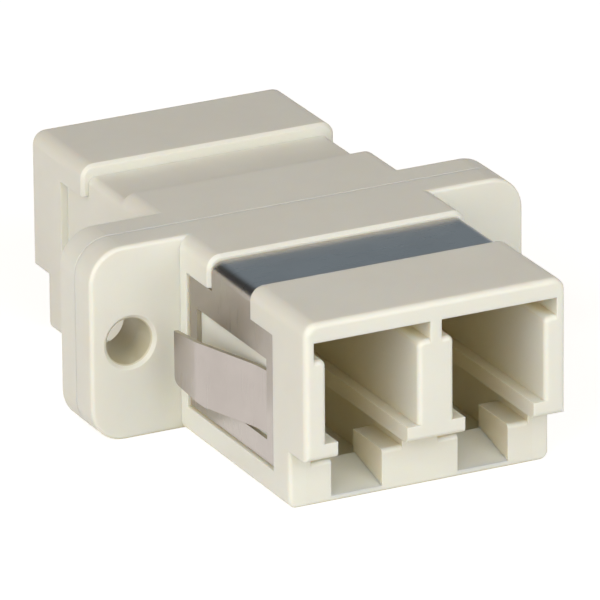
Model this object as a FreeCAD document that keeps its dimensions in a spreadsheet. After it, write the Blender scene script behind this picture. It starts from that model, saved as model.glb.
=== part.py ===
"""Flanged duplex fibre optic adapter: two equal moulded halves, a spring clip and two split sleeves.

Millimetres. The origin is under the middle of the part, on the surface that it rests on.
X runs along the pair of ports, Y along the fibres with the front half at -Y, and Z is up.
The halves meet at Y = 0. The rear half is the front half turned half round about Z.
"""
import FreeCAD
import Part
import Sketcher
import os

# Driving dimensions: name, size in millimetres (slopes in degrees), what it measures
DIMENSIONS = [
    ("body_width", 12.85, "width of the housing across both ports"),
    ("body_height", 9.2, "height of the housing and of its flange"),
    ("half_length", 14.0, "depth of one half, from the seam to its end face"),
    ("edge_radius", 0.65, "rounding along the top edges of the housing"),
    ("base_radius", 0.4, "rounding along the bottom edges of the housing"),
    ("face_radius", 0.27, "rounding round the end face of the frame"),
    ("rim_radius", 0.18, "rounding round the sill and the flange"),
    ("frame_height", 6.45, "height of the proud frame, from the top down"),
    ("sill_setback", 1.6, "how far the latch sill stands back from the end face"),
    ("flange_width", 21.7, "width across both ears of the flange"),
    ("flange_half", 1.6, "thickness of one half's share of the flange"),
    ("ear_radius", 1.65, "rounding of the ears' corners"),
    ("hole_inset", 1.95, "from an ear's tip to the middle of its screw hole"),
    ("hole_diameter", 2.2, "screw hole in each ear"),
    ("hole_rim", 0.2, "bevel of the screw holes' rims"),
    ("seam_bevel", 0.05, "bevel that leaves the fine seam line round the halves"),
    ("port_pitch", 6.25, "distance between the two fibre axes"),
    ("port_width", 4.5, "width of a port"),
    ("port_roof", 0.9, "wall above the ports"),
    ("toe_width", 0.55, "how far each toe stands into the port"),
    ("toe_height", 0.75, "height of the toes that guide the plug"),
    ("notch_width", 5.7, "width of the relief at the top of a port's mouth"),
    ("notch_height", 0.85, "height of that relief"),
    ("notch_depth", 2.5, "how far that relief runs in"),
    ("ledge_radius", 0.3, "rounding of the ledges under that relief"),
    ("mouth_radius", 0.22, "rounding of the upright edges of a port's mouth"),
    ("latch_gap", 0.75, "height of the channel between the toes and the sill"),
    ("latch_slot", 2.5, "width of the slot that lets the latch through the sill"),
    ("sill_depth", 2.8, "thickness of the sill along Y"),
    ("sill_lip", 0.2, "rounding of the sill's upper front edge"),
    ("floor_thickness", 0.3, "floor under the latch"),
    ("web_thickness", 2.0, "wall across the bottom of the ports, in one half"),
    ("tower_diameter", 2.9, "outside of the tube that holds a sleeve"),
    ("lip_thickness", 0.5, "lip at the tube's end that keeps the sleeve in"),
    ("lip_bore", 1.56, "hole through that lip"),
    ("sleeve_length", 6.8, "length of a split sleeve"),
    ("sleeve_bore", 1.25, "inside of a split sleeve, for a 1.25 mm ferrule"),
    ("sleeve_wall", 0.225, "wall of a split sleeve"),
    ("sleeve_slit", 0.2, "slit along a split sleeve"),
    ("sleeve_clearance", 0.04, "room round a sleeve"),
    ("sleeve_end_play", 0.05, "room at each end of a sleeve"),
    ("groove_start", 5.45, "from the end face to the strap groove"),
    ("groove_width", 4.05, "width of the strap groove"),
    ("groove_depth", 0.6, "depth of the strap groove in the top"),
    ("groove_radius", 0.35, "rounding of the corners under the strap"),
    ("groove_lip", 0.15, "bevel of the groove's edges"),
    ("pocket_start", 3.15, "from the end face to the side pocket"),
    ("pocket_rim", 0.65, "wall left between the side pocket and the flange"),
    ("pocket_drop", 1.5, "from the top to the side pocket"),
    ("pocket_base", 1.3, "from the bottom to the side pocket"),
    ("pocket_depth", 0.35, "depth of the side pocket and of the strap slot above it"),
    ("sheet", 0.2, "thickness of the clip's sheet"),
    ("clip_clearance", 0.02, "room between the clip's plates and the housing"),
    ("strap_clearance", 0.15, "room under the clip's strap"),
    ("clip_play", 0.1, "room between the clip's edges and the pocket's walls"),
    ("hinge_inset", 0.77, "from the clip's front edge to the root of its tongue"),
    ("rear_strip", 0.7, "strip of sheet behind the window"),
    ("window_drop", 1.35, "from the side plate's top edge to its window"),
    ("window_gap", 0.55, "open gap above the tongue"),
    ("tongue_height", 2.95, "height of the tongue"),
    ("tongue_slit", 0.3, "cut below the tongue"),
    ("root_run", 0.9, "length of the tongue's root along Y"),
    ("root_flare", 8.0, "slope of the root"),
    ("root_radius", 3.0, "outside of the bend between the root and the run"),
    ("tongue_run", 3.63, "length of the tongue's sloping run along Y"),
    ("tongue_flare", 17.3, "slope of that run"),
    ("tip_run", 1.7, "length of the tongue's tip along Y"),
    ("tip_flare", 7.6, "slope of the tip"),
    ("tip_cut_run", 2.2, "length of the slanting cut under the tip"),
    ("tip_cut_rise", 0.5, "height of that cut at the tip's end"),
    ("tip_radius", 0.4, "rounding of the tip's lower corner"),
    ("bend_radius", 1.5, "inside of the bend between the run and the tip"),
]
ALIASES = {alias for alias, value, note in DIMENSIONS}
TOLERANCE = 1e-4

# Places worked out from the driving dimensions
FRAME_BOTTOM = "( body_height - frame_height )"
ROOF = "( body_height - port_roof )"
SHELF = f"( {FRAME_BOTTOM} + toe_height )"
SILL_TOP = f"( {FRAME_BOTTOM} - latch_gap )"
AXIS_HEIGHT = f"( ( {ROOF} + {SHELF} ) / 2 )"
HOLE_PLACE = "( flange_width / 2 - hole_inset )"
SILL_FRONT = "( half_length - sill_setback )"
SILL_BACK = f"( {SILL_FRONT} - sill_depth )"
SLEEVE_DIAMETER = "( sleeve_bore + 2 * sleeve_wall )"
SLEEVE_SEAT = f"( {SLEEVE_DIAMETER} + 2 * sleeve_clearance )"
SEAT_DEPTH = "( sleeve_length / 2 + sleeve_end_play )"
TOWER_LENGTH = f"( {SEAT_DEPTH} + lip_thickness )"
GROOVE_FRONT = "( half_length - groove_start )"
GROOVE_BACK = f"( {GROOVE_FRONT} - groove_width )"
POCKET_FRONT = "( half_length - pocket_start )"
POCKET_BACK = "( flange_half + pocket_rim )"
POCKET_TOP = "( body_height - pocket_drop )"
CORE_SIDE = "( body_width / 2 - pocket_depth )"
CORE_TOP = "( body_height - groove_depth )"
CLIP_INNER = f"( {CORE_SIDE} + clip_clearance )"
CLIP_OUTER = f"( {CLIP_INNER} + sheet )"
CLIP_UNDER = f"( {CORE_TOP} + strap_clearance )"
CLIP_OVER = f"( {CLIP_UNDER} + sheet )"
CLIP_FRONT = f"( {POCKET_FRONT} - clip_play )"
CLIP_BACK = f"( {POCKET_BACK} + clip_play )"
PLATE_TOP = f"( {POCKET_TOP} - clip_play )"
PLATE_BOTTOM = "( pocket_base + clip_play )"
WINDOW_TOP = f"( {PLATE_TOP} - window_drop )"
TONGUE_TOP = f"( {WINDOW_TOP} - window_gap )"
TONGUE_BOTTOM = f"( {TONGUE_TOP} - tongue_height )"
WINDOW_BOTTOM = f"( {TONGUE_BOTTOM} - tongue_slit )"
HINGE = f"( {CLIP_FRONT} - hinge_inset )"
ROOT = f"( {HINGE} - root_run )"
BEND = f"( {ROOT} - tongue_run )"
TIP = f"( {BEND} - tip_run )"
ROOT_OUT = "( root_run * tan( root_flare ) )"
BEND_OUT = f"( {ROOT_OUT} + tongue_run * tan( tongue_flare ) )"
TIP_OUT = f"( {BEND_OUT} + tip_run * tan( tip_flare ) )"

doc = FreeCAD.newDocument("fibre_adapter")
sizes = doc.addObject("Spreadsheet::Sheet", "Sizes")
for row, (alias, value, note) in enumerate(DIMENSIONS, start=1):
    sizes.set(f"A{row}", note)
    sizes.set(f"B{row}", str(value))
    sizes.setAlias(f"B{row}", alias)
doc.recompute()


def bound(formula):
    """Turn a formula in dimension names into one that reads the sheet's cells."""
    return " ".join(f"Sizes.{word}" if word in ALIASES else word for word in formula.split())


def measure(formula):
    """Work out a formula in dimension names."""
    result = sizes.evalExpression(bound(formula))
    return float(getattr(result, "Value", result))


def new_body(label):
    body = doc.addObject("PartDesign::Body", label)
    body.Label = label
    return body


def new_sketch(body, name, plane, offset="0"):
    """Put a sketch on one of the body's own planes, moved along that plane's normal."""
    sketch = body.newObject("Sketcher::SketchObject", name)
    support = next(item for item in body.Origin.OriginFeatures if item.Role == plane)
    sketch.AttachmentSupport = (support, [""])
    sketch.MapMode = "FlatFace"
    sketch.setExpression("AttachmentOffset.Base.z", bound(offset))
    return sketch


def pin_point(sketch, geometry, position, across, up):
    """Hold a point of the sketch at two formulas, measured from the sketch's origin."""
    for kind, formula in (("DistanceX", across), ("DistanceY", up)):
        index = sketch.addConstraint(
            Sketcher.Constraint(kind, -1, 1, geometry, position, measure(formula)))
        sketch.setExpression(f"Constraints[{index}]", bound(formula))


def draw_outline(sketch, corners):
    """Draw a closed outline through corners given as pairs of formulas."""
    points = [FreeCAD.Vector(measure(across), measure(up), 0) for across, up in corners]
    first = sketch.GeometryCount
    count = len(points)
    for index in range(count):
        sketch.addGeometry(Part.LineSegment(points[index], points[(index + 1) % count]), False)
    for index, (across, up) in enumerate(corners):
        previous = first + (index - 1) % count
        sketch.addConstraint(Sketcher.Constraint("Coincident", previous, 2, first + index, 1))
        pin_point(sketch, first + index, 1, across, up)


def draw_box(sketch, left, right, low, high):
    draw_outline(sketch, [(left, low), (right, low), (right, high), (left, high)])


def draw_circle(sketch, across, up, diameter):
    centre = FreeCAD.Vector(measure(across), measure(up), 0)
    circle = Part.Circle(centre, FreeCAD.Vector(0, 0, 1), measure(diameter) / 2)
    index = sketch.addGeometry(circle, False)
    pin_point(sketch, index, 3, across, up)
    size = sketch.addConstraint(Sketcher.Constraint("Diameter", index, measure(diameter)))
    sketch.setExpression(f"Constraints[{size}]", bound(diameter))


def add_pad(body, name, sketch, length, symmetric=False, reverse=False):
    pad = body.newObject("PartDesign::Pad", name)
    pad.Profile = sketch
    pad.Midplane = symmetric
    pad.Reversed = reverse
    pad.setExpression("Length", bound(length))
    doc.recompute()


def add_pocket(body, name, sketch, length, symmetric=False, reverse=False):
    """Cut a sketch into the body, and see that something was cut."""
    before = body.Shape.Volume
    pocket = body.newObject("PartDesign::Pocket", name)
    pocket.Profile = sketch
    pocket.Midplane = symmetric
    pocket.Reversed = reverse
    pocket.setExpression("Length", bound(length))
    doc.recompute()
    if not body.Shape.Volume < before - TOLERANCE:
        raise RuntimeError(f"{body.Label} {name} cut nothing")


def dress_edges(kind, body, name, size, chosen):
    """Fillet or chamfer the edges of the body's present shape that a test picks."""
    base = body.Tip
    numbered = enumerate(base.Shape.Edges, start=1)
    names = [f"Edge{number}" for number, edge in numbered if chosen(edge)]
    if not names:
        raise RuntimeError(f"{body.Label} {name} found no edges")
    feature = body.newObject(f"PartDesign::{kind}", name)
    feature.Base = (base, names)
    feature.setExpression("Radius" if kind == "Fillet" else "Size", bound(size))
    doc.recompute()


def lies_at(edge, **places):
    """Say whether an edge lies wholly at the given coordinates, such as y=-14."""
    box = edge.BoundBox
    for axis, place in places.items():
        low = getattr(box, axis.upper() + "Min")
        high = getattr(box, axis.upper() + "Max")
        if abs(low - place) > TOLERANCE or abs(high - place) > TOLERANCE:
            return False
    return True


def port_centres():
    return ("- port_pitch / 2", "port_pitch / 2")


def build_block(label):
    """Mould the block of one half, in front of the seam: ports, sleeve tubes and clip seats."""
    body = new_body(label)
    side = measure("body_width / 2")
    top = measure("body_height")
    end_face = - measure("half_length")
    sill_face = - measure(SILL_FRONT)
    frame_bottom = measure(FRAME_BOTTOM)

    # Stepped block: the frame round the mouths stands proud of the latch sill below it
    profile = new_sketch(body, "block_profile", "YZ_Plane")
    draw_outline(profile, [
        ("0", "0"),
        ("0", "body_height"),
        ("- half_length", "body_height"),
        ("- half_length", FRAME_BOTTOM),
        (f"- {SILL_FRONT}", FRAME_BOTTOM),
        (f"- {SILL_FRONT}", "0"),
    ])
    add_pad(body, "block", profile, "body_width", symmetric=True)
    for name, radius, height in (("top_edges", "edge_radius", top), ("base_edges", "base_radius", 0)):
        dress_edges("Fillet", body, name, radius, lambda edge: any(
            lies_at(edge, x=x, z=height) for x in (-side, side)))
    dress_edges("Chamfer", body, "seam", "seam_bevel", lambda edge: lies_at(edge, y=0))
    dress_edges("Fillet", body, "frame_rim", "face_radius", lambda edge: lies_at(edge, y=end_face))
    dress_edges("Fillet", body, "sill_rim", "rim_radius",
                lambda edge: lies_at(edge, y=sill_face) and not lies_at(edge, z=frame_bottom))

    # Strap groove over the top and down the sides
    groove = new_sketch(body, "groove_profile", "XZ_Plane", GROOVE_FRONT)
    draw_outline(groove, [
        ("- flange_width / 2", "pocket_base"),
        (f"- {CORE_SIDE}", "pocket_base"),
        (f"- {CORE_SIDE}", CORE_TOP),
        (CORE_SIDE, CORE_TOP),
        (CORE_SIDE, "pocket_base"),
        ("flange_width / 2", "pocket_base"),
        ("flange_width / 2", "body_height + groove_depth"),
        ("- flange_width / 2", "body_height + groove_depth"),
    ])
    add_pocket(body, "groove", groove, "groove_width")
    core_side = measure(CORE_SIDE)
    core_top = measure(CORE_TOP)
    groove_walls = (- measure(GROOVE_FRONT), - measure(GROOVE_BACK))
    groove_foot = measure("pocket_base")

    def is_groove_lip(edge):
        centre = edge.CenterOfMass
        outside = abs(centre.x) > core_side + TOLERANCE or centre.z > core_top + TOLERANCE
        on_wall = any(lies_at(edge, y=wall) for wall in groove_walls)
        return outside and on_wall and not lies_at(edge, z=groove_foot)

    dress_edges("Fillet", body, "groove_corners", "groove_radius", lambda edge: any(
        lies_at(edge, x=x, z=core_top) for x in (-core_side, core_side)))
    dress_edges("Chamfer", body, "groove_lips", "groove_lip", is_groove_lip)

    # Side pockets for the clip's plates
    pockets = new_sketch(body, "pocket_plan", "XY_Plane", POCKET_TOP)
    draw_box(pockets, CORE_SIDE, "flange_width / 2", f"- {POCKET_FRONT}", f"- {POCKET_BACK}")
    draw_box(pockets, "- flange_width / 2", f"- {CORE_SIDE}", f"- {POCKET_FRONT}", f"- {POCKET_BACK}")
    add_pocket(body, "pockets", pockets, f"{POCKET_TOP} - pocket_base")

    # Ports: plug space, toes, latch channel and the slot through the sill, in one outline each
    ports = new_sketch(body, "port_outline", "XZ_Plane", "half_length")
    for centre in port_centres():
        right = [
            ("port_width / 2", ROOF),
            ("port_width / 2", SHELF),
            ("( port_width / 2 - toe_width )", SHELF),
            ("( port_width / 2 - toe_width )", FRAME_BOTTOM),
            ("port_width / 2", FRAME_BOTTOM),
            ("port_width / 2", SILL_TOP),
            ("latch_slot / 2", SILL_TOP),
            ("latch_slot / 2", "floor_thickness"),
        ]
        outline = [(f"{centre} + {across}", up) for across, up in right]
        outline += [(f"{centre} - {across}", up) for across, up in reversed(right)]
        draw_outline(ports, outline)
    add_pocket(body, "ports", ports, "half_length - web_thickness")
    sill_top = measure(SILL_TOP)
    dress_edges("Fillet", body, "sill_lips", "sill_lip",
                lambda edge: lies_at(edge, y=sill_face, z=sill_top))

    # Room behind the sill for the latch's ears, and the relief at the top of each mouth
    recess = new_sketch(body, "latch_recess_outline", "XZ_Plane", SILL_BACK)
    notch = new_sketch(body, "notch_outline", "XZ_Plane", "half_length")
    for centre in port_centres():
        draw_box(recess, f"{centre} - port_width / 2", f"{centre} + port_width / 2",
                 "floor_thickness", FRAME_BOTTOM)
        draw_box(notch, f"{centre} - notch_width / 2", f"{centre} + notch_width / 2",
                 f"{ROOF} - notch_height", ROOF)
    add_pocket(body, "latch_recess", recess, f"{SILL_BACK} - web_thickness")
    add_pocket(body, "notch", notch, "notch_depth")
    ledge = measure(f"{ROOF} - notch_height")
    shelf = measure(SHELF)
    walls = [measure(f"{centre} {sign} port_width / 2") for centre in port_centres() for sign in "+-"]
    face_edge = side - measure("face_radius")

    def is_mouth(edge):
        centre = edge.CenterOfMass
        inside = abs(centre.x) < face_edge - TOLERANCE
        between = shelf + TOLERANCE < centre.z < ledge + TOLERANCE
        return lies_at(edge, y=end_face) and inside and between

    dress_edges("Fillet", body, "ledges", "ledge_radius",
                lambda edge: any(lies_at(edge, x=wall, z=ledge) for wall in walls))
    dress_edges("Fillet", body, "mouths", "mouth_radius", is_mouth)

    # Tubes that hold the alignment sleeves, each with a lip at its end
    towers = new_sketch(body, "tower_outline", "XZ_Plane")
    seats = new_sketch(body, "sleeve_seat_outline", "XZ_Plane")
    lips = new_sketch(body, "lip_bore_outline", "XZ_Plane")
    for centre in port_centres():
        draw_circle(towers, centre, AXIS_HEIGHT, "tower_diameter")
        draw_circle(seats, centre, AXIS_HEIGHT, SLEEVE_SEAT)
        draw_circle(lips, centre, AXIS_HEIGHT, "lip_bore")
    add_pad(body, "towers", towers, TOWER_LENGTH)
    add_pocket(body, "sleeve_seats", seats, SEAT_DEPTH, reverse=True)
    add_pocket(body, "lip_bores", lips, TOWER_LENGTH, reverse=True)
    return body


def build_flange(label):
    """Mould one half of the flange: two ears with screw holes, and the seats that pass through."""
    body = new_body(label)
    outline = new_sketch(body, "flange_outline", "XZ_Plane")
    draw_box(outline, "- flange_width / 2", "flange_width / 2", "0", "body_height")
    for centre in (f"- {HOLE_PLACE}", HOLE_PLACE):
        draw_circle(outline, centre, "body_height / 2", "hole_diameter")
    for centre in port_centres():
        draw_circle(outline, centre, AXIS_HEIGHT, SLEEVE_SEAT)
    add_pad(body, "flange", outline, "flange_half")
    tip = measure("flange_width / 2")
    top = measure("body_height")
    face = - measure("flange_half")
    hole = measure("hole_diameter / 2")
    dress_edges("Fillet", body, "ear_corners", "ear_radius", lambda edge: any(
        lies_at(edge, x=x, z=z) for x in (-tip, tip) for z in (0, top)))

    def is_bore(edge):
        return isinstance(edge.Curve, Part.Circle) and edge.isClosed()

    dress_edges("Fillet", body, "flange_rim", "rim_radius",
                lambda edge: lies_at(edge, y=face) and not is_bore(edge))
    dress_edges("Chamfer", body, "hole_rims", "hole_rim", lambda edge: lies_at(edge, y=face) and (
        is_bore(edge) and abs(edge.Curve.Radius - hole) < TOLERANCE))
    dress_edges("Chamfer", body, "seam", "seam_bevel",
                lambda edge: lies_at(edge, y=0) and not is_bore(edge))
    return body


def build_housing(label, turn):
    """Join a block and its flange into one moulding, turned about Z."""
    housing = doc.addObject("Part::Fuse", label)
    housing.Label = label
    housing.Base = build_block(f"{label}_block")
    housing.Tool = build_flange(f"{label}_flange")
    housing.Refine = True
    housing.Placement = FreeCAD.Placement(
        FreeCAD.Vector(), FreeCAD.Rotation(FreeCAD.Vector(0, 0, 1), turn))
    doc.recompute()
    return housing


def build_clip(label):
    """Fold the spring clip from one sheet: a strap, two side plates and a tongue in each."""
    body = new_body(label)
    section = new_sketch(body, "folded_section", "XZ_Plane", CLIP_FRONT)
    draw_outline(section, [
        (f"- {CLIP_OUTER}", PLATE_BOTTOM),
        (f"- {CLIP_INNER}", PLATE_BOTTOM),
        (f"- {CLIP_INNER}", CLIP_UNDER),
        (CLIP_INNER, CLIP_UNDER),
        (CLIP_INNER, PLATE_BOTTOM),
        (CLIP_OUTER, PLATE_BOTTOM),
        (CLIP_OUTER, CLIP_OVER),
        (f"- {CLIP_OUTER}", CLIP_OVER),
    ])
    add_pad(body, "folded_sheet", section, f"{CLIP_FRONT} - {CLIP_BACK}", reverse=True)
    for name, side, height, radius in (
            ("inner_bends", CLIP_INNER, CLIP_UNDER, "groove_radius + clip_clearance"),
            ("outer_bends", CLIP_OUTER, CLIP_OVER, "groove_radius + clip_clearance + sheet")):
        x = measure(side)
        z = measure(height)
        dress_edges("Fillet", body, name, radius, lambda edge: any(
            lies_at(edge, x=place, z=z) for place in (-x, x)))

    # Shoulders cut away beside the strap, and a window in each side plate
    shoulders = new_sketch(body, "shoulder_outline", "YZ_Plane")
    draw_box(shoulders, "- half_length", f"clip_play - {GROOVE_FRONT}", PLATE_TOP, "body_height")
    draw_box(shoulders, f"- {GROOVE_BACK} - clip_play", "0", PLATE_TOP, "body_height")
    add_pocket(body, "shoulders", shoulders, "flange_width", symmetric=True)
    window = new_sketch(body, "window_outline", "YZ_Plane")
    draw_box(window, f"- {HINGE}", f"- {CLIP_BACK} - rear_strip", WINDOW_BOTTOM, WINDOW_TOP)
    add_pocket(body, "windows", window, "flange_width", symmetric=True)

    # Tongues that spring outwards and stop the panel
    tongues = new_sketch(body, "tongue_plan", "XY_Plane", TONGUE_BOTTOM)
    for sign in ("", "- "):
        draw_outline(tongues, [(f"{sign}( {across} )", f"- {along}") for across, along in (
            (CLIP_INNER, HINGE),
            (f"{CLIP_INNER} + {ROOT_OUT}", ROOT),
            (f"{CLIP_INNER} + {BEND_OUT}", BEND),
            (f"{CLIP_INNER} + {TIP_OUT}", TIP),
            (f"{CLIP_OUTER} + {TIP_OUT}", TIP),
            (f"{CLIP_OUTER} + {BEND_OUT}", BEND),
            (f"{CLIP_OUTER} + {ROOT_OUT}", ROOT),
            (CLIP_OUTER, HINGE),
        )])
    add_pad(body, "tongues", tongues, "tongue_height")
    for name, across, along, radius in (
            ("roots_outside", f"{CLIP_OUTER} + {ROOT_OUT}", ROOT, "root_radius"),
            ("roots_inside", f"{CLIP_INNER} + {ROOT_OUT}", ROOT, "root_radius + sheet"),
            ("bends_inside", f"{CLIP_INNER} + {BEND_OUT}", BEND, "bend_radius"),
            ("bends_outside", f"{CLIP_OUTER} + {BEND_OUT}", BEND, "bend_radius + sheet")):
        x = measure(across)
        y = - measure(along)
        dress_edges("Fillet", body, name, radius, lambda edge: any(
            lies_at(edge, x=place, y=y) for place in (-x, x)))

    # Slanting cut under each tip, outside the plates so that only the tongues lose it
    for name, sign, outwards in (("left", "- ", False), ("right", "", True)):
        cut = new_sketch(body, f"{name}_tip_outline", "YZ_Plane", f"{sign}( {CLIP_OUTER} + sheet )")
        draw_outline(cut, [
            (f"- {TIP}", TONGUE_BOTTOM),
            (f"- {TIP}", f"{TONGUE_BOTTOM} + tip_cut_rise"),
            (f"- {TIP} - tip_cut_run", TONGUE_BOTTOM),
        ])
        add_pocket(body, f"{name}_tip_cut", cut, "flange_width", reverse=outwards)
    tip = - measure(TIP)
    low = measure(f"{TONGUE_BOTTOM} + tip_cut_rise")
    dress_edges("Fillet", body, "tongue_tips", "tip_radius",
                lambda edge: lies_at(edge, y=tip, z=low))
    return body


def build_sleeve(label, centre):
    """Split alignment sleeve, lying across the seam on one fibre axis."""
    body = new_body(label)
    ring = new_sketch(body, "ring_outline", "XZ_Plane")
    draw_circle(ring, centre, AXIS_HEIGHT, SLEEVE_DIAMETER)
    draw_circle(ring, centre, AXIS_HEIGHT, "sleeve_bore")
    add_pad(body, "ring", ring, "sleeve_length", symmetric=True)
    slit = new_sketch(body, "slit_outline", "XZ_Plane")
    draw_box(slit, f"{centre} - sleeve_slit / 2", f"{centre} + sleeve_slit / 2",
             AXIS_HEIGHT, f"{AXIS_HEIGHT} + {SLEEVE_DIAMETER}")
    add_pocket(body, "slit", slit, "sleeve_length", symmetric=True)
    return body


def check_and_export(pieces):
    """Stop if anything failed to build, then write one file for each piece."""
    for item in doc.Objects:
        if "Invalid" in item.State or "Error" in item.State:
            raise RuntimeError(f"{item.Name} did not build: {item.State}")
    for piece in pieces:
        if piece.Shape.isNull() or not piece.Shape.isValid() or len(piece.Shape.Solids) != 1:
            raise RuntimeError(f"{piece.Label} is not one valid solid")
    os.makedirs("parts", exist_ok=True)
    for piece in pieces:
        piece.Shape.exportStep(f"parts/{piece.Label}.step")
        print(f"{piece.Label}: {piece.Shape.Volume:.2f} cubic millimetres")


left_port, right_port = port_centres()
check_and_export([
    build_housing("front_housing", turn=0),
    build_housing("rear_housing", turn=180),
    build_clip("retaining_clip"),
    build_sleeve("left_sleeve", left_port),
    build_sleeve("right_sleeve", right_port),
])
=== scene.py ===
# %% [markdown]
# A duplex fibre optic adapter joins one pair of fibre plugs to another through a panel.
# Its solids are two moulded halves, a folded spring clip and two hidden sleeves. They are complete but
# for four small ramps, which are added here.
# So this lesson is mostly about finish, light and camera: how beige moulded plastic and rolled steel
# are told apart by the eye, and how a photograph's view of a thing 28 mm long is set up again.

# %% Load the solids
import math

import bpy
import numpy as np
from mathutils import Matrix, Vector


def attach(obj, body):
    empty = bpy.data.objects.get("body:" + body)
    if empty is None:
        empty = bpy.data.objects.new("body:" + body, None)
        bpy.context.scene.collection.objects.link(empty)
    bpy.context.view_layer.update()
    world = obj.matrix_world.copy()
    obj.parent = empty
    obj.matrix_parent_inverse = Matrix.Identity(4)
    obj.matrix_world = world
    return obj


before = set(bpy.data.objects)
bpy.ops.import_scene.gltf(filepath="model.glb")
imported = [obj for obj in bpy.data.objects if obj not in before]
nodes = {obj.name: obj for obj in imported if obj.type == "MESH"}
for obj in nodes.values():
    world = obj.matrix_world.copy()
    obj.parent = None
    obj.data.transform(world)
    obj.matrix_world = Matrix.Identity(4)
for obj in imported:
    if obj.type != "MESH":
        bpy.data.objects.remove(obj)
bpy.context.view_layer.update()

for node_name in sorted(nodes):
    print(f"{node_name}: {len(nodes[node_name].data.polygons)} triangles")

# %% [markdown]
# Every finish below is a small graph of nodes round one Principled shader.
# A graph can be clicked together by hand, but written as code it can be read and repeated.
# The first helper adds one node: a plain value is set on its socket, and another node's socket is
# linked. The others build the few patterns that come back in every finish.

# %% Helpers for shader graphs
MILLIMETRE = 0.001
NOISE_SPREAD = (0.3, 0.7)


def add_node(tree, kind, settings=(), **sockets):
    """Add a node and set or link its sockets.

    A socket's name has underscores for spaces, or is an underscore and the socket's number.
    """
    node = tree.nodes.new(kind)
    for name, value in dict(settings).items():
        setattr(node, name, value)
    for name, value in sockets.items():
        key = int(name[1:]) if name[1:].isdigit() else name.replace("_", " ")
        if isinstance(value, bpy.types.NodeSocket):
            tree.links.new(value, node.inputs[key])
        else:
            node.inputs[key].default_value = value
    return node


def start_material(name):
    """Make a material with an empty graph; return it and its tree."""
    material = bpy.data.materials.new(name)
    material.use_nodes = True
    material.node_tree.nodes.clear()
    return material, material.node_tree


def noise(tree, place, wavelength, detail=2.0, stretch=(1.0, 1.0, 1.0)):
    """Noise with features about one wavelength apart, in metres, divided by stretch along each axis."""
    scale = [factor / wavelength for factor in stretch]
    mapping = add_node(tree, "ShaderNodeMapping", Vector=place, Scale=scale)
    return add_node(tree, "ShaderNodeTexNoise", Vector=mapping.outputs["Vector"],
                    Scale=1.0, Detail=detail).outputs["Fac"]


def remap(tree, value, low, high):
    """Carry the usual spread of a noise to the range from low to high."""
    return add_node(tree, "ShaderNodeMapRange", Value=value,
                    From_Min=NOISE_SPREAD[0], From_Max=NOISE_SPREAD[1],
                    To_Min=low, To_Max=high).outputs["Result"]


def calculate(tree, operation, first, second):
    """One step of arithmetic between sockets or numbers."""
    return add_node(tree, "ShaderNodeMath", {"operation": operation}, _0=first, _1=second).outputs[0]


def size_of(tree, value):
    """The value without its sign."""
    return calculate(tree, "ABSOLUTE", value, 0.0)


def mix_colours(tree, share, first, second):
    """Go from the first colour to the second as share goes from 0 to 1."""
    node = add_node(tree, "ShaderNodeMix", {"data_type": "RGBA"}, _0=share, _6=first, _7=second)
    return node.outputs[2]


def dress(material, *node_names):
    """Give CAD nodes this material only."""
    for node_name in node_names:
        slots = nodes[node_name].data.materials
        slots.clear()
        slots.append(material)
    print(f"{material.name} on {', '.join(node_names)}")


# %% [markdown]
# The housing is beige engineering plastic, moulded in a tool with a fine spark-eroded surface.
# Three things make it read as plastic: a broad soft sheen, a grain far finer than the part,
# and edges that the mould left very slightly round, so that they catch a thin line of light.
# The Bevel node rounds the shading of the remaining sharp edges without touching the mesh.
# Light also travels a short way inside the plastic, red the furthest, which softens every edge and
# shadow; that is the Subsurface part of the shader.
# Light that reaches the bottom of a port has met beige plastic several times and has turned brown on
# the way. That brown is painted into the colour as shade: an Ambient Occlusion node, which measures how
# shut in a spot is, paints it in two steps: the walls of the ports, which are half shut in, and all that
# is almost shut in. The screw holes are open at both ends, so they count as light, and their place picks
# them out for a painted shade of their own instead.
# The seam between the halves is too fine for its own shadow to show, so its place picks it out, and
# that shadow is painted there as a darker line.

# %% Moulded plastic of both halves
PLASTIC_PALE = (0.76, 0.765, 0.695, 1.0)
PLASTIC_WARM = (0.74, 0.735, 0.66, 1.0)
# Painted shade: the brown of light bounced inside the ports, on their walls, in the screw holes and where
# almost shut in.
PLASTIC_WALL_SHADE = (0.68, 0.61, 0.46, 1.0)
PLASTIC_HOLE_SHADE = (0.62, 0.59, 0.45, 1.0)
PLASTIC_DEEP_SHADE = (0.76, 0.67, 0.41, 1.0)
# Painted shade: the seam's shadow, as a darker line along it.
PLASTIC_SEAM_SHADE = (0.54, 0.51, 0.42, 1.0)
SHUT_IN_REACH = 8 * MILLIMETRE
SHUT_IN_SAMPLES = 8
WALL_OPEN_SKY = 0.5
DEEP_OPEN_SKY = 0.25
LOOKS_UP = 0.5
SEAM_HALF_WIDTH = 0.05 * MILLIMETRE
PORTS_HALF_WIDTH = 5.6 * MILLIMETRE
HOLE_PLACE = Vector((8.9, 0.0, 4.6)) * MILLIMETRE
HOLE_REACH = 1.15 * MILLIMETRE
PLASTIC_EDGE_ROUNDING = 0.05 * MILLIMETRE
EDGE_SAMPLES = 6
PLASTIC_FLOW = 5 * MILLIMETRE
PLASTIC_PATCHES = 0.9 * MILLIMETRE
PLASTIC_GRAIN = 0.09 * MILLIMETRE
GRAIN_DEPTH = 0.012 * MILLIMETRE
GRAIN_STRENGTH = 0.22
PLASTIC_ROUGHNESS = (0.4, 0.52)
GLOW_SHARE = 0.7
GLOW_REACH = Vector((0.5, 0.4, 0.27)) * MILLIMETRE


def climb(tree, value, full):
    """Rise from 0 where the value is 0 to 1 where it reaches full, and stay there."""
    return add_node(tree, "ShaderNodeMapRange", Value=value, From_Max=full).outputs["Result"]


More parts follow.
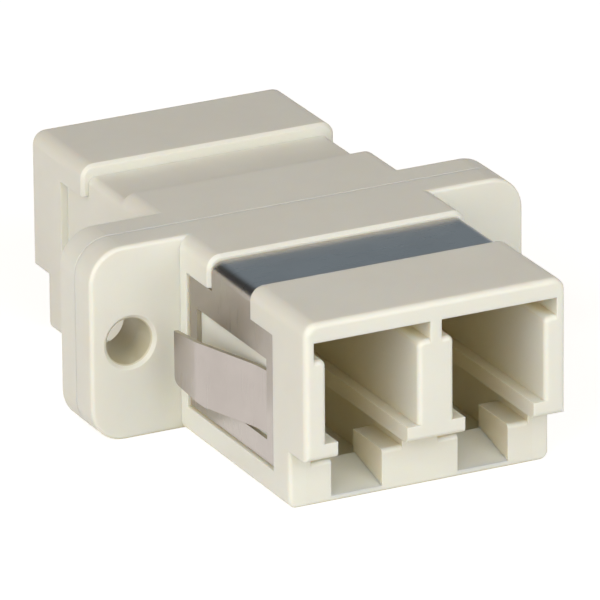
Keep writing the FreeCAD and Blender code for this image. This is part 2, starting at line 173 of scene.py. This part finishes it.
def off_walls(tree, side, facing_up, sky):
    """1 on faces that look up or lie beside the ports; on the ports' walls, rise to 1 with the sky."""
    beside = calculate(tree, "GREATER_THAN", side, PORTS_HALF_WIDTH)
    level = calculate(tree, "GREATER_THAN", facing_up, LOOKS_UP)
    other_faces = calculate(tree, "MAXIMUM", beside, level)
    return calculate(tree, "MAXIMUM", climb(tree, sky, WALL_OPEN_SKY), other_faces)


def off_holes(tree, side, height):
    """0 inside the screw holes and 1 elsewhere, by the distance from a hole's axis in the XZ plane."""
    across = calculate(tree, "SUBTRACT", side, HOLE_PLACE.x)
    above = calculate(tree, "SUBTRACT", height, HOLE_PLACE.z)
    squares = [calculate(tree, "MULTIPLY", offset, offset) for offset in (across, above)]
    return calculate(tree, "GREATER_THAN", calculate(tree, "ADD", *squares), HOLE_REACH ** 2)


def make_moulded_plastic():
    """Beige from a slow noise between two tones, with painted shade where shut in, in the holes and on
    the seam, and finer sheen and relief.
    """
    material, tree = start_material("moulded_plastic")
    coordinates = add_node(tree, "ShaderNodeTexCoord")
    place = coordinates.outputs["Object"]
    spot = add_node(tree, "ShaderNodeSeparateXYZ", Vector=place)
    facing = add_node(tree, "ShaderNodeSeparateXYZ", Vector=coordinates.outputs["Normal"])
    side = size_of(tree, spot.outputs["X"])
    from_seam = size_of(tree, spot.outputs["Y"])
    sky = add_node(tree, "ShaderNodeAmbientOcclusion", {"samples": SHUT_IN_SAMPLES},
                   Distance=SHUT_IN_REACH).outputs["AO"]
    flow = noise(tree, place, PLASTIC_FLOW, detail=3.0)
    grain = noise(tree, place, PLASTIC_GRAIN)
    patches = noise(tree, place, PLASTIC_PATCHES)
    edges = add_node(tree, "ShaderNodeBevel", {"samples": EDGE_SAMPLES}, Radius=PLASTIC_EDGE_ROUNDING)
    relief = add_node(tree, "ShaderNodeBump", Strength=GRAIN_STRENGTH, Distance=GRAIN_DEPTH,
                      Height=grain, Normal=edges.outputs["Normal"])
    beige = mix_colours(tree, remap(tree, flow, 0.0, 1.0), PLASTIC_PALE, PLASTIC_WARM)
    # Painted shade: the seam's shadow, as a darker line along it.
    beige = mix_colours(tree, climb(tree, from_seam, SEAM_HALF_WIDTH), PLASTIC_SEAM_SHADE, beige)
    # Painted shade: brown in the screw holes, on the ports' walls and where almost shut in.
    beige = mix_colours(tree, off_holes(tree, side, spot.outputs["Z"]), PLASTIC_HOLE_SHADE, beige)
    beige = mix_colours(tree, off_walls(tree, side, facing.outputs["Z"], sky), PLASTIC_WALL_SHADE, beige)
    beige = mix_colours(tree, climb(tree, sky, DEEP_OPEN_SKY), PLASTIC_DEEP_SHADE, beige)
    shader = add_node(tree, "ShaderNodeBsdfPrincipled",
                      Base_Color=beige,
                      Roughness=remap(tree, patches, *PLASTIC_ROUGHNESS),
                      IOR=1.5,
                      Subsurface_Weight=GLOW_SHARE,
                      Subsurface_Radius=GLOW_REACH,
                      Subsurface_Scale=1.0,
                      Normal=relief.outputs["Normal"])
    add_node(tree, "ShaderNodeOutputMaterial", Surface=shader.outputs["BSDF"])
    return material


plastic = make_moulded_plastic()
dress(plastic, "front_housing", "rear_housing")

# %% [markdown]
# A plug's latch passes through a slot in the sill below each port. In the photograph the bottom of the
# slot climbs towards the inside; in the solids it is level. So each slot gets a ramp nearly as long as
# the sill is thick: a box with a sloping top, sunk into the plastic below and beside it so that no two
# faces share a plane. Its lower front edge is set back, as the sill's own edge is rounded there.
# The rear half is the same moulding turned half round, ramps and all.

# %% Ramps in the latch slots
SLOT_CENTRES = np.array([-3.125, 3.125]) * MILLIMETRE
RAMP_HALF_WIDTH = 1.27 * MILLIMETRE
RAMP_FRONT = -12.39 * MILLIMETRE
RAMP_LENGTH = 2.65 * MILLIMETRE
RAMP_BOTTOM = 0.02 * MILLIMETRE
RAMP_SETBACK = 0.2 * MILLIMETRE
RAMP_FOOT = 0.3 * MILLIMETRE
RAMP_RISE = 0.65 * MILLIMETRE
BOX_FACES = np.array([
    [0, 2, 3, 1],
    [4, 5, 7, 6],
    [0, 1, 5, 4],
    [2, 6, 7, 3],
    [0, 4, 6, 2],
    [1, 3, 7, 5],
])


def make_ramps(name, turn):
    """Make a box in each slot; turn is 1 for the front half and -1 for the rear one.

    The top's height is the foot plus the rise times the share of the length.
    """
    up, along, across = np.indices((2, 2, 2)).reshape(3, 8)
    x = SLOT_CENTRES[:, None] + RAMP_HALF_WIDTH * (2 * across - 1)
    y = RAMP_FRONT + RAMP_LENGTH * along + RAMP_SETBACK * (1 - up) * (1 - along)
    z = RAMP_BOTTOM + up * (RAMP_FOOT + RAMP_RISE * along - RAMP_BOTTOM)
    points = np.stack(np.broadcast_arrays(turn * x, turn * y, z), axis=-1).reshape(-1, 3)
    faces = np.concatenate([BOX_FACES, BOX_FACES + len(across)])
    mesh = bpy.data.meshes.new(name)
    mesh.from_pydata(points.tolist(), [], faces.tolist())
    mesh.materials.append(plastic)
    piece = bpy.data.objects.new(name, mesh)
    bpy.context.scene.collection.objects.link(piece)
    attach(piece, "root")
    print(f"{name}: {len(faces)} faces")


make_ramps("front_latch_ramps", 1)
make_ramps("rear_latch_ramps", -1)

# %% [markdown]
# The clip is stainless sheet, rolled, blanked and folded. Rolling leaves faint lines along the strip,
# which run over the strap and down the side plates, so a noise squeezed along Y follows both.
# Folding leaves the sheet a little wavy, and a mirror shows that far more than its lines.
# Blanking leaves the cut edges torn and dull. They are the faces that look along Y, and those that
# look up or down below the strap, so the surface's own direction picks them out.

# %% Rolled steel of the clip
STEEL_PALE = (0.465, 0.427, 0.4, 1.0)
STEEL_DARK = (0.435, 0.397, 0.372, 1.0)
CUT_EDGE = (0.5, 0.46, 0.36, 1.0)
STRAP_UNDERSIDE = 8.3 * MILLIMETRE
LOOKS_ALONG = 0.8
ROLLED_LINES = 0.06 * MILLIMETRE
ROLLED_STRETCH = (0.02, 1.0, 0.02)
SHEET_WAVES = 1.6 * MILLIMETRE
WAVE_DEPTH = 0.02 * MILLIMETRE
WAVE_STRENGTH = 0.5
SHEET_ROUGHNESS = (0.273, 0.287)
CUT_ROUGHNESS = 0.25


def cut_edge_mask(tree, coordinates):
    """1 where a face looks along Y, or along Z below the strap, and 0 on the sheet's own faces."""
    facing = add_node(tree, "ShaderNodeSeparateXYZ", Vector=coordinates.outputs["Normal"])
    spot = add_node(tree, "ShaderNodeSeparateXYZ", Vector=coordinates.outputs["Object"])
    along_y = calculate(tree, "GREATER_THAN", size_of(tree, facing.outputs["Y"]), LOOKS_ALONG)
    along_z = calculate(tree, "GREATER_THAN", size_of(tree, facing.outputs["Z"]), LOOKS_ALONG)
    below = calculate(tree, "LESS_THAN", spot.outputs["Z"], STRAP_UNDERSIDE)
    return calculate(tree, "MAXIMUM", along_y, calculate(tree, "MULTIPLY", along_z, below))


def make_rolled_steel():
    """Metal with fine lines in its sheen and slow waves in its relief, yellower and rougher where cut."""
    material, tree = start_material("rolled_steel")
    coordinates = add_node(tree, "ShaderNodeTexCoord")
    place = coordinates.outputs["Object"]
    lines = noise(tree, place, ROLLED_LINES, stretch=ROLLED_STRETCH)
    waves = noise(tree, place, SHEET_WAVES, detail=3.0)
    cut = cut_edge_mask(tree, coordinates)
    sheet = mix_colours(tree, remap(tree, waves, 0.0, 1.0), STEEL_PALE, STEEL_DARK)
    torn = calculate(tree, "MULTIPLY", cut, CUT_ROUGHNESS)
    sheen = calculate(tree, "ADD", remap(tree, lines, *SHEET_ROUGHNESS), torn)
    relief = add_node(tree, "ShaderNodeBump", Strength=WAVE_STRENGTH, Distance=WAVE_DEPTH, Height=waves)
    shader = add_node(tree, "ShaderNodeBsdfPrincipled",
                      Base_Color=mix_colours(tree, cut, sheet, CUT_EDGE),
                      Metallic=1.0,
                      Roughness=sheen,
                      Normal=relief.outputs["Normal"])
    add_node(tree, "ShaderNodeOutputMaterial", Surface=shader.outputs["BSDF"])
    return material


dress(make_rolled_steel(), "retaining_clip")

# %% [markdown]
# The sleeves are drawn phosphor bronze tubes, slit along one side. Only their ends show, deep in the
# ports and from straight ahead. Drawing leaves lines along the tube, so this noise is stretched along Y.

# %% Drawn bronze of the sleeves
BRONZE_PALE = (0.78, 0.53, 0.3, 1.0)
BRONZE_DARK = (0.62, 0.38, 0.19, 1.0)
DRAWN_LINES = 0.08 * MILLIMETRE
DRAWN_STRETCH = (1.0, 0.03, 1.0)
DRAWN_DEPTH = 0.003 * MILLIMETRE
DRAWN_STRENGTH = 0.08
BRONZE_ROUGHNESS = (0.22, 0.38)


def make_drawn_bronze():
    """Warm metal with lines along the tube in its colour and its sheen."""
    material, tree = start_material("drawn_bronze")
    place = add_node(tree, "ShaderNodeTexCoord").outputs["Object"]
    lines = noise(tree, place, DRAWN_LINES, detail=3.0, stretch=DRAWN_STRETCH)
    bronze = mix_colours(tree, remap(tree, lines, 0.0, 1.0), BRONZE_PALE, BRONZE_DARK)
    relief = add_node(tree, "ShaderNodeBump", Strength=DRAWN_STRENGTH, Distance=DRAWN_DEPTH, Height=lines)
    shader = add_node(tree, "ShaderNodeBsdfPrincipled",
                      Base_Color=bronze,
                      Metallic=1.0,
                      Roughness=remap(tree, lines, *BRONZE_ROUGHNESS),
                      Normal=relief.outputs["Normal"])
    add_node(tree, "ShaderNodeOutputMaterial", Surface=shader.outputs["BSDF"])
    return material


dress(make_drawn_bronze(), "left_sleeve", "right_sleeve")

# %% [markdown]
# The stage is a white table and, behind the part, a dim blue-grey card that stands for the unlit end
# of a studio. Polished steel has no colour of its own: the strap looks dark because it mirrors that
# card, while the side plates mirror the pale table and the flange. The card is seen only in
# reflections, and it gives no light and no shadow.

# %% Table and card
TABLE_HALF = 1.5
TABLE_CELLS = (2, 2)
TABLE_GLOW = 0.7
TABLE_GREY = (0.65, 0.65, 0.65, 1.0)


def make_grid(name, point_at, columns, rows):
    """Lay a grid over two parameters from 0 to 1, which point_at turns into x, y and z."""
    across, up = np.meshgrid(np.linspace(0, 1, columns + 1), np.linspace(0, 1, rows + 1))
    points = np.stack(point_at(across.ravel(), up.ravel()), axis=1)
    corner = (np.arange(rows)[:, None] * (columns + 1) + np.arange(columns)).ravel()
    faces = np.stack([corner, corner + 1, corner + columns + 2, corner + columns + 1], axis=1)
    mesh = bpy.data.meshes.new(name)
    mesh.from_pydata(points.tolist(), [], faces.tolist())
    piece = bpy.data.objects.new(name, mesh)
    bpy.context.scene.collection.objects.link(piece)
    return piece


def seen_directly(tree):
    """1 for a ray from the camera, a mirror or glass, and 0 for one that only carries light."""
    path = add_node(tree, "ShaderNodeLightPath")
    shown = calculate(tree, "MAXIMUM", path.outputs["Is Camera Ray"], path.outputs["Is Glossy Ray"])
    return calculate(tree, "MAXIMUM", shown, path.outputs["Is Transmission Ray"])


def make_white_table():
    """Grey that takes the part's shadow, with a glow on top that is seen but lights nothing."""
    material, tree = start_material("white_table")
    glow_share = calculate(tree, "MULTIPLY", seen_directly(tree), TABLE_GLOW)
    glow = add_node(tree, "ShaderNodeEmission", Strength=glow_share)
    grey = add_node(tree, "ShaderNodeBsdfDiffuse", Color=TABLE_GREY)
    both = add_node(tree, "ShaderNodeAddShader", _0=grey.outputs["BSDF"], _1=glow.outputs["Emission"])
    add_node(tree, "ShaderNodeOutputMaterial", Surface=both.outputs["Shader"])
    return material


def table_point(across, up):
    """A flat square at height 0 round the origin."""
    return TABLE_HALF * (2 * across - 1), TABLE_HALF * (2 * up - 1), np.zeros_like(across)


table = make_grid("table", table_point, *TABLE_CELLS)
table.data.materials.append(make_white_table())

CARD_DISTANCE = 0.4
CARD_AZIMUTHS = (-48, 75)
CARD_ELEVATIONS = (6, 60)
CARD_CELLS = (32, 16)
CARD_FADE = (-0.1, 0.08)
CARD_DARK = (0.025, 0.028, 0.03, 1.0)
CARD_PALE = (0.26, 0.335, 0.395, 1.0)


def card_point(across, up):
    """Part of a sphere round the origin: azimuth turns from +Y towards +X, elevation goes up."""
    azimuth = np.radians(CARD_AZIMUTHS[0] + (CARD_AZIMUTHS[1] - CARD_AZIMUTHS[0]) * across)
    elevation = np.radians(CARD_ELEVATIONS[0] + (CARD_ELEVATIONS[1] - CARD_ELEVATIONS[0]) * up)
    flat = CARD_DISTANCE * np.cos(elevation)
    return flat * np.sin(azimuth), flat * np.cos(azimuth), CARD_DISTANCE * np.sin(elevation)


def make_dim_card():
    """Blue-grey glow that falls off towards the card's left end."""
    material, tree = start_material("dim_card")
    place = add_node(tree, "ShaderNodeTexCoord").outputs["Object"]
    spot = add_node(tree, "ShaderNodeSeparateXYZ", Vector=place)
    along = add_node(tree, "ShaderNodeMapRange", Value=spot.outputs["X"],
                     From_Min=CARD_FADE[0], From_Max=CARD_FADE[1])
    tone = mix_colours(tree, along.outputs["Result"], CARD_DARK, CARD_PALE)
    glow = add_node(tree, "ShaderNodeEmission", Color=tone, Strength=1.0)
    add_node(tree, "ShaderNodeOutputMaterial", Surface=glow.outputs["Emission"])
    return material


card = make_grid("card", card_point, *CARD_CELLS)
card.data.materials.append(make_dim_card())
card.visible_camera = False
card.visible_diffuse = False
card.visible_shadow = False
print(f"table {2 * TABLE_HALF:.1f} m wide, card {CARD_DISTANCE:.1f} m behind the part")

# %% [markdown]
# The end faces are the palest, the left sides come next, and the tops are clearly darker. No face has
# a hard shadow on it. So the part stands between two large softboxes, one in front and a little above,
# and one on its left, in a room with a dim warm surround.
# A face that looks at a softbox comes out about as pale as its colour is written.

# %% Softboxes and surround
SOFTBOXES = [
    # name, azimuth and elevation in degrees, width in metres, watts, colour
    ("front_box", -12, 21, 0.28, 0.48, (0.95, 0.99, 1.0)),
    ("left_box", 62, 25, 0.3, 0.6, (1.0, 0.995, 0.98)),
]
SOFTBOX_DISTANCE = 0.28
SURROUND = (0.28, 0.225, 0.185, 1.0)
WHITE = (1.0, 1.0, 1.0, 1.0)


def direction_from(azimuth, elevation):
    """Unit vector from the part to a viewer: azimuth 0 is in front (-Y) and grows to the left (-X)."""
    level = math.cos(elevation)
    return Vector((-math.sin(azimuth) * level, -math.cos(azimuth) * level, math.sin(elevation)))


for name, azimuth, elevation, width, watts, colour in SOFTBOXES:
    lamp = bpy.data.lights.new(name, "AREA")
    lamp.shape = "DISK"
    lamp.size = width
    lamp.energy = watts
    lamp.color = colour
    softbox = bpy.data.objects.new(name, lamp)
    back = direction_from(math.radians(azimuth), math.radians(elevation))
    softbox.location = back * SOFTBOX_DISTANCE
    softbox.rotation_euler = (-back).to_track_quat("-Z", "Y").to_euler()
    bpy.context.scene.collection.objects.link(softbox)
    print(f"{name}: {watts} W at {SOFTBOX_DISTANCE} m")

world = bpy.data.worlds.new("surround")
world.use_nodes = True
world.node_tree.nodes.clear()
world_tree = world.node_tree
world_colour = mix_colours(world_tree, seen_directly(world_tree), SURROUND, WHITE)
backdrop = add_node(world_tree, "ShaderNodeBackground", Strength=1.0, Color=world_colour)
add_node(world_tree, "ShaderNodeOutputWorld", Surface=backdrop.outputs["Background"])
bpy.context.scene.world = world
bpy.context.scene.view_settings.view_transform = "Standard"

# %% [markdown]
# The camera was found by fitting straight edges of the solids to the photograph: it stands 26 degrees
# to the left of the ports and 21 degrees above the table, far off with a long lens, and is turned
# half a degree about its own axis. Its three axes are written straight into the camera's matrix.

# %% Camera
CAMERA_AZIMUTH = math.radians(26.42)
CAMERA_ELEVATION = math.radians(21.11)
CAMERA_ROLL = math.radians(-0.5)
CAMERA_DISTANCE = 414.6 * MILLIMETRE
CAMERA_TARGET = Vector((0.27, -0.13, 4.473)) * MILLIMETRE
CAMERA_NEAR_CLIP = 0.01
FOCAL_PIXELS = 9206
PICTURE_PIXELS = 600

camera_data = bpy.data.cameras.new("camera")
camera_data.lens = FOCAL_PIXELS * camera_data.sensor_width / PICTURE_PIXELS
camera_data.clip_start = CAMERA_NEAR_CLIP
camera = bpy.data.objects.new("camera", camera_data)
camera_back = direction_from(CAMERA_AZIMUTH, CAMERA_ELEVATION)
level_right = Vector((0, 0, 1)).cross(camera_back).normalized()
level_up = camera_back.cross(level_right)
camera_right = level_right * math.cos(CAMERA_ROLL) + level_up * math.sin(CAMERA_ROLL)
camera_up = level_up * math.cos(CAMERA_ROLL) - level_right * math.sin(CAMERA_ROLL)
camera.matrix_world = Matrix((camera_right, camera_up, camera_back)).transposed().to_4x4()
camera.location = CAMERA_TARGET + camera_back * CAMERA_DISTANCE
bpy.context.scene.collection.objects.link(camera)
bpy.context.scene.camera = camera
print(f"camera lens {camera_data.lens:.0f} mm, {CAMERA_DISTANCE:.3f} m from the part")
